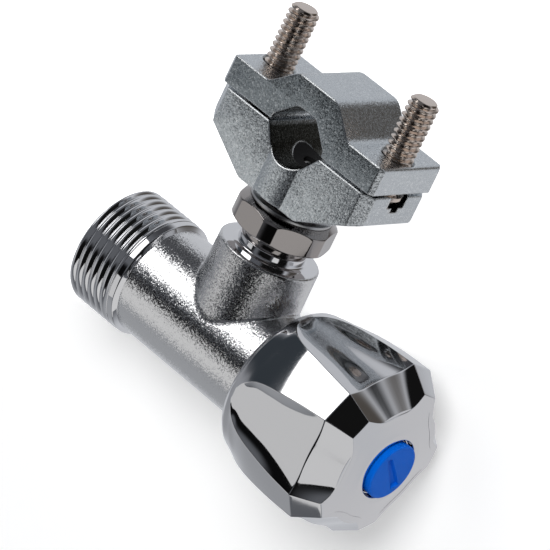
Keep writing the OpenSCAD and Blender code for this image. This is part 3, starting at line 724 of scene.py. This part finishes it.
def knobGrid():
    # radius: a flat over each lobe, r = lobe * cos(half) / cos(a), and a sine dip over each
    # flute, joined with a small round; columns follow the two edges of each flute
    rows = knobPath()
    station, lobe, flute, share, flatness = (rows[:, i:i + 1] for i in range(5))
    flat = np.unique(np.concatenate([ease(15) * 2 - 1, [-0.97, -0.93, 0.93, 0.97]]))
    dip = np.unique(np.concatenate([ease(25), [0.006, 0.014, 0.986, 0.994]]))[1:-1]
    step = tau / k["lobes"]
    half = share * step / 2
    a = np.concatenate([flat[None] * half, half + dip[None] * (step - 2 * half)], 1)
    off = np.abs(np.where(a > step / 2, step - a, a))
    crest = lobe * (1 - flatness + flatness * np.cos(half) / np.cos(off))
    along = (off - half) / (step / 2 - half)
    sunk = np.sin(math.pi / 2 * (1 - (1 - np.clip(along, 0, 1)) ** 2)) + np.minimum(along, 0) * math.pi
    dipR = lobe - (lobe - flute) * sunk
    ridge = np.minimum(k["ridgeRound"], 0.02 + (lobe - flute) * 0.1)
    lobed = (lobe > k["lobedRadius"]) | (station > k["faceX"] - 1)
    r = np.where(lobed, blendMin(crest, dipR, ridge), lobe + 0 * off)
    r = np.tile(r, (1, k["lobes"]))
    start = np.arange(k["lobes"])[:, None, None] * step + math.radians(k["phase"])
    turn = (a[None] + start).transpose(1, 0, 2).reshape(len(rows), -1)

    # the face is one dome, cut by the lobed outline: its height follows the radius alone
    def dome(radius):
        outside = np.maximum((radius - k["faceRadius"]) / k["faceRadius"], 0)
        return k["faceX"] - k["domeFall"] * outside ** 1.25

    onChamfer = np.clip((station - k["chamferX"]) / k["chamferDeep"], 0, 1)
    domed = (onChamfer > 0) & (r > k["faceRadius"])
    x = np.where(domed, station + (dome(r) - dome(lobe)) * onChamfer, station)
    return np.stack([x, r * np.cos(turn), r * np.sin(turn)], -1)


knobPiece = finishMesh("flutedKnob", gridMesh("flutedKnob", knobGrid()), knobChrome, "knob", 60)
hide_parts("knob")
print("knob made", len(knobPiece.data.polygons))

# Index cap: a low disc with a rounded edge and one sunk wedge mark with sloping sides
cap = {"low": 43.4, "lowRadius": 6.0, "top": 47.7, "radius": 6.2, "edge": 0.5, "fineAbove": 47.0,
       "dome": 0.10, "domeSquare": 38.0, "depth": 0.7, "slope": 0.35,
       "wedge": [(-3.9, 3.2), (-2.4, 3.5), (3.9, -3.0), (1.9, -4.1)]}


def capGrid(columns=360):
    # height: the turned profile, plus a dome that falls with the radius squared, less the
    # mark's depth times how far inside the wedge's four sides a point lies
    path = roundedPath([(cap["low"], 0.0), (cap["low"], cap["lowRadius"], 0.1),
                        (cap["top"], cap["radius"], cap["edge"]), (cap["top"], 0.0)])

    def pieces(a, b):
        return np.linalg.norm(b - a) / 0.06 if min(a[0], b[0]) > cap["fineAbove"] else 1

    grid = turnedGrid("x", refined(path, pieces), columns)
    x, y, z = grid[..., 0], grid[..., 1], grid[..., 2]
    corner = np.array(cap["wedge"])
    inside = np.full(grid.shape[:2], 9.0)
    for a, b in zip(corner, np.roll(corner, -1, 0)):
        side = (b - a) / np.linalg.norm(b - a)
        inside = np.minimum(inside, (y - a[0]) * side[1] - (z - a[1]) * side[0])
    sunk = smoothStep(np.clip(inside / cap["slope"], 0, 1))
    dome = cap["dome"] * (1 - (y ** 2 + z ** 2) / cap["domeSquare"])
    onTop = np.clip((x - cap["top"] + 0.4) / 0.35, 0, 1)
    return np.stack([x + onTop * (dome - cap["depth"] * sunk), y, z], -1)


capPiece = finishMesh("blueCap", gridMesh("blueCap", capGrid()), bluePlastic, "knob", 50)
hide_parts("index_cap")
print("cap made")

# The nodes that stay as the solids have them take their material here
plain = {"piercing_tube": steel, "cutter_seal": rubber, "saddle_seal": rubber,
         "thrust_washer_left": steel, "thrust_washer_right": steel, "headwork_body": brass,
         "headwork_seal": rubber, "spindle": brass, "spindle_seal": rubber, "spindle_clip": steel,
         "jumper": brass, "seat_washer": rubber, "washer_screw": brass, "knob_screw": steel}
for node, material in plain.items():
    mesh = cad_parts[node].data
    mesh.materials.clear()
    mesh.materials.append(material)
print("inner pieces coloured")

# Camera at the photograph's angle, fitted to the outlines: how it is turned, where the
# drawing's centre lies before it in millimetres, and its focal length in pixels
camera = {"rows": ((0.67322, 0.61836, 0.40547), (0.54924, -0.05102, -0.8341), (-0.49509, 0.78424, -0.37398)),
          "shift": (-9.23, 12.262, 995.346), "focal": 5000.0, "pixels": 550, "sensor": 36.0}
u, _, v = np.linalg.svd(np.array(camera["rows"]))
rotation = u @ v
lensData = bpy.data.cameras.new("photoCamera")
lensData.sensor_width = camera["sensor"]
lensData.lens = camera["focal"] * camera["sensor"] / camera["pixels"]
lensData.clip_start, lensData.clip_end = 0.05, 20.0
view = addObject("photoCamera", lensData)
pose = np.eye(4)
pose[:3, :3] = (np.diag([1, -1, -1]) @ rotation).T
pose[:3, 3] = inFrame(-rotation.T @ np.array(camera["shift"]))
view.matrix_world = Matrix(pose.tolist())
bpy.context.scene.camera = view
bpy.context.scene.view_settings.view_transform = "Standard"

# Studio. The valve lies on a pale table, on the knob, the outlet and one clamp corner.
# Directions are given as seen from above the table: degrees round it from the image's
# right towards its top, and degrees above it. Boxes are lit cards, each with its direction,
# its width and height in degrees and its strength. Patches are what else the chrome mirrors:
# direction, radius, soft edge, tone. The lamp has a direction, distance, size and power.
studio = {"down": (-0.0972, 0.9914, 0.0884), "tableAt": 16.5, "tableSize": 3000, "paper": "#e6e6e6",
          "paperGlow": 0.38, "fade": (-46.0, -34.0), "middle": (5.0, 0.0, 15.0), "distance": 1400.0,
          "gain": 1.3, "base": "#56585c", "cardRoundness": 0.4, "lamp": (50, 52, 1400, 700, 14.5),
          "boxes": [("windowBox", 105.5, 29, 24, 38, 2.4), ("leftBox", -169, 42, 32, 36, 0.66),
                    ("frontBox", -74, 25, 62, 52, 0.72)],
          "patches": [(0, -90, 80, 12, "#b4b6ba"), (22, -52, 22, 12, "#4a4642"),
                      (-72, -48, 24, 10, "#bcbcbe"), (92, -16, 16, 10, "#3c3d40"),
                      (-145, 4, 26, 14, "#8f9194"), (175, 12, 18, 10, "#8c8e92"),
                      (130, 10, 16, 7, "#30353a"), (-75, 64, 24, 6, "#0c0c0c"),
                      (-10, 22, 26, 6, "#0e0e0e"), (24, 14, 34, 6, "#121212"),
                      (157, 58, 14, 5, "#0a0a0b")]}
white = (1, 1, 1, 1)
down = np.array(studio["down"]) / np.linalg.norm(studio["down"])
alongRight = rotation[0] - (rotation[0] @ down) * down
alongRight /= np.linalg.norm(alongRight)
alongTop = np.cross(-down, alongRight)
middle = np.array(studio["middle"])


def overTable(turn, height):
    t, h = math.radians(turn), math.radians(height)
    return (alongRight * math.cos(t) + alongTop * math.sin(t)) * math.cos(h) - down * math.sin(h)


def card(name, centre, front, width, height, light):
    # a flat card with rounded corners, lit on its front and clear from behind; its width
    # lies level with the table. Outline: cosine and sine, each raised to a low power.
    u = np.cross(front, down)
    u = u / np.linalg.norm(u) if np.linalg.norm(u) > 0.1 else alongRight
    v = np.cross(front, u)
    count = 48
    t = np.arange(count) * tau / count
    a, b = (np.sign(f) * np.abs(f) ** studio["cardRoundness"] for f in (np.cos(t), np.sin(t)))
    corners = centre + np.outer(a, u * width / 2) + np.outer(b, v * height / 2)
    mesh = polyMesh(name, corners, np.arange(count)[None])
    material = emptied(bpy.data.materials.new(name))
    clear = addNode(material, "BsdfTransparent")
    geometry = addNode(material, "NewGeometry")
    surface = addNode(material, "MixShader", {}, [
        ("Fac", geometry, "Backfacing"), (1, light(material), 0), (2, clear, 0)])
    addNode(material, "OutputMaterial", {}, [("Surface", surface, 0)])
    mesh.materials.append(material)
    sheet = addObject(name, mesh)
    return sheet


def paperLight(material):
    # white paper: pure white to the camera where no shadow falls; a glow seen only by the
    # camera, stronger towards its far part, paints that part so bright that no shadow shows there
    add = partial(addNode, material)
    diffuse = add("BsdfDiffuse", {"Color": linear(studio["paper"])})
    path = add("LightPath")
    coords = add("TexCoord")
    toTop = add("VectorMath", {"operation": "DOT_PRODUCT", 1: alongTop.tolist()}, [(0, coords, "Object")])
    near, away = (at * toMetres for at in studio["fade"])
    far = add("MapRange", {"interpolation_type": "SMOOTHSTEP", "From Min": near, "From Max": away,
                           "To Min": studio["paperGlow"], "To Max": 1.0}, [("Value", toTop, "Value")])
    level = add("Math", {"operation": "MULTIPLY"}, [(0, path, "Is Camera Ray"), (1, far, "Result")])
    glow = add("Emission", {"Color": white}, [("Strength", level, 0)])
    return add("AddShader", {}, [(0, diffuse, 0), (1, glow, 0)])


table = card("table", down * studio["tableAt"], -down, studio["tableSize"], studio["tableSize"], paperLight)
table.visible_glossy = False
for name, turn, height, wide, high, strength in studio["boxes"]:
    toward = overTable(turn, height)
    spread = [2 * studio["distance"] * math.tan(math.radians(size / 2)) for size in (wide, high)]
    box = card(name, middle + toward * studio["distance"], -toward, *spread,
               lambda material: addNode(material, "Emission", {"Color": white, "Strength": strength}))
    box.visible_camera = False


def keyLamp(turn, height, distance, size, power):
    # one soft lamp, seen by no mirror, gives the table its soft shadow
    data = bpy.data.lights.new("keyLamp", "AREA")
    data.shape, data.size, data.energy = "DISK", size * toMetres, power
    light = addObject("keyLamp", data)
    toward = overTable(turn, height)
    spot = inFrame(middle + toward * distance)
    aim = Vector((-toward).tolist()).to_track_quat("-Z", "Y").to_matrix().to_4x4()
    light.matrix_world = Matrix.Translation(spot.tolist()) @ aim
    light.visible_glossy = False
    light.visible_camera = False


keyLamp(*studio["lamp"])

world = emptied(bpy.data.worlds.new("studioAir"))
bpy.context.scene.world = world
add = partial(addNode, world)
path = add("LightPath")
coords = add("TexCoord")
tone = add("RGB")
tone.outputs[0].default_value = linear(studio["base"])
for turn, height, radius, soft, colour in studio["patches"]:
    # a round patch: the cosine to its axis, eased from its outer to its inner edge
    axis = overTable(turn, height)
    near = add("VectorMath", {"operation": "DOT_PRODUCT", 1: axis.tolist()}, [(0, coords, "Generated")])
    edges = (min(radius + soft, 179), max(radius - soft, 0))
    outer, inner = (math.cos(math.radians(edge)) for edge in edges)
    share = add("MapRange", {"interpolation_type": "SMOOTHSTEP", "From Min": outer, "From Max": inner},
                [("Value", near, "Value")])
    tone = add("MixRGB", {"Color2": linear(colour)}, [("Fac", share, "Result"), ("Color1", tone, 0)])
air = add("Background", {"Strength": studio["gain"]}, [("Color", tone, 0)])
seen = add("Background", {"Color": white, "Strength": 1.0})
either = add("MixShader", {}, [("Fac", path, "Is Camera Ray"), (1, air, 0), (2, seen, 0)])
add("OutputWorld", {}, [("Surface", either, 0)])
print("studio made")
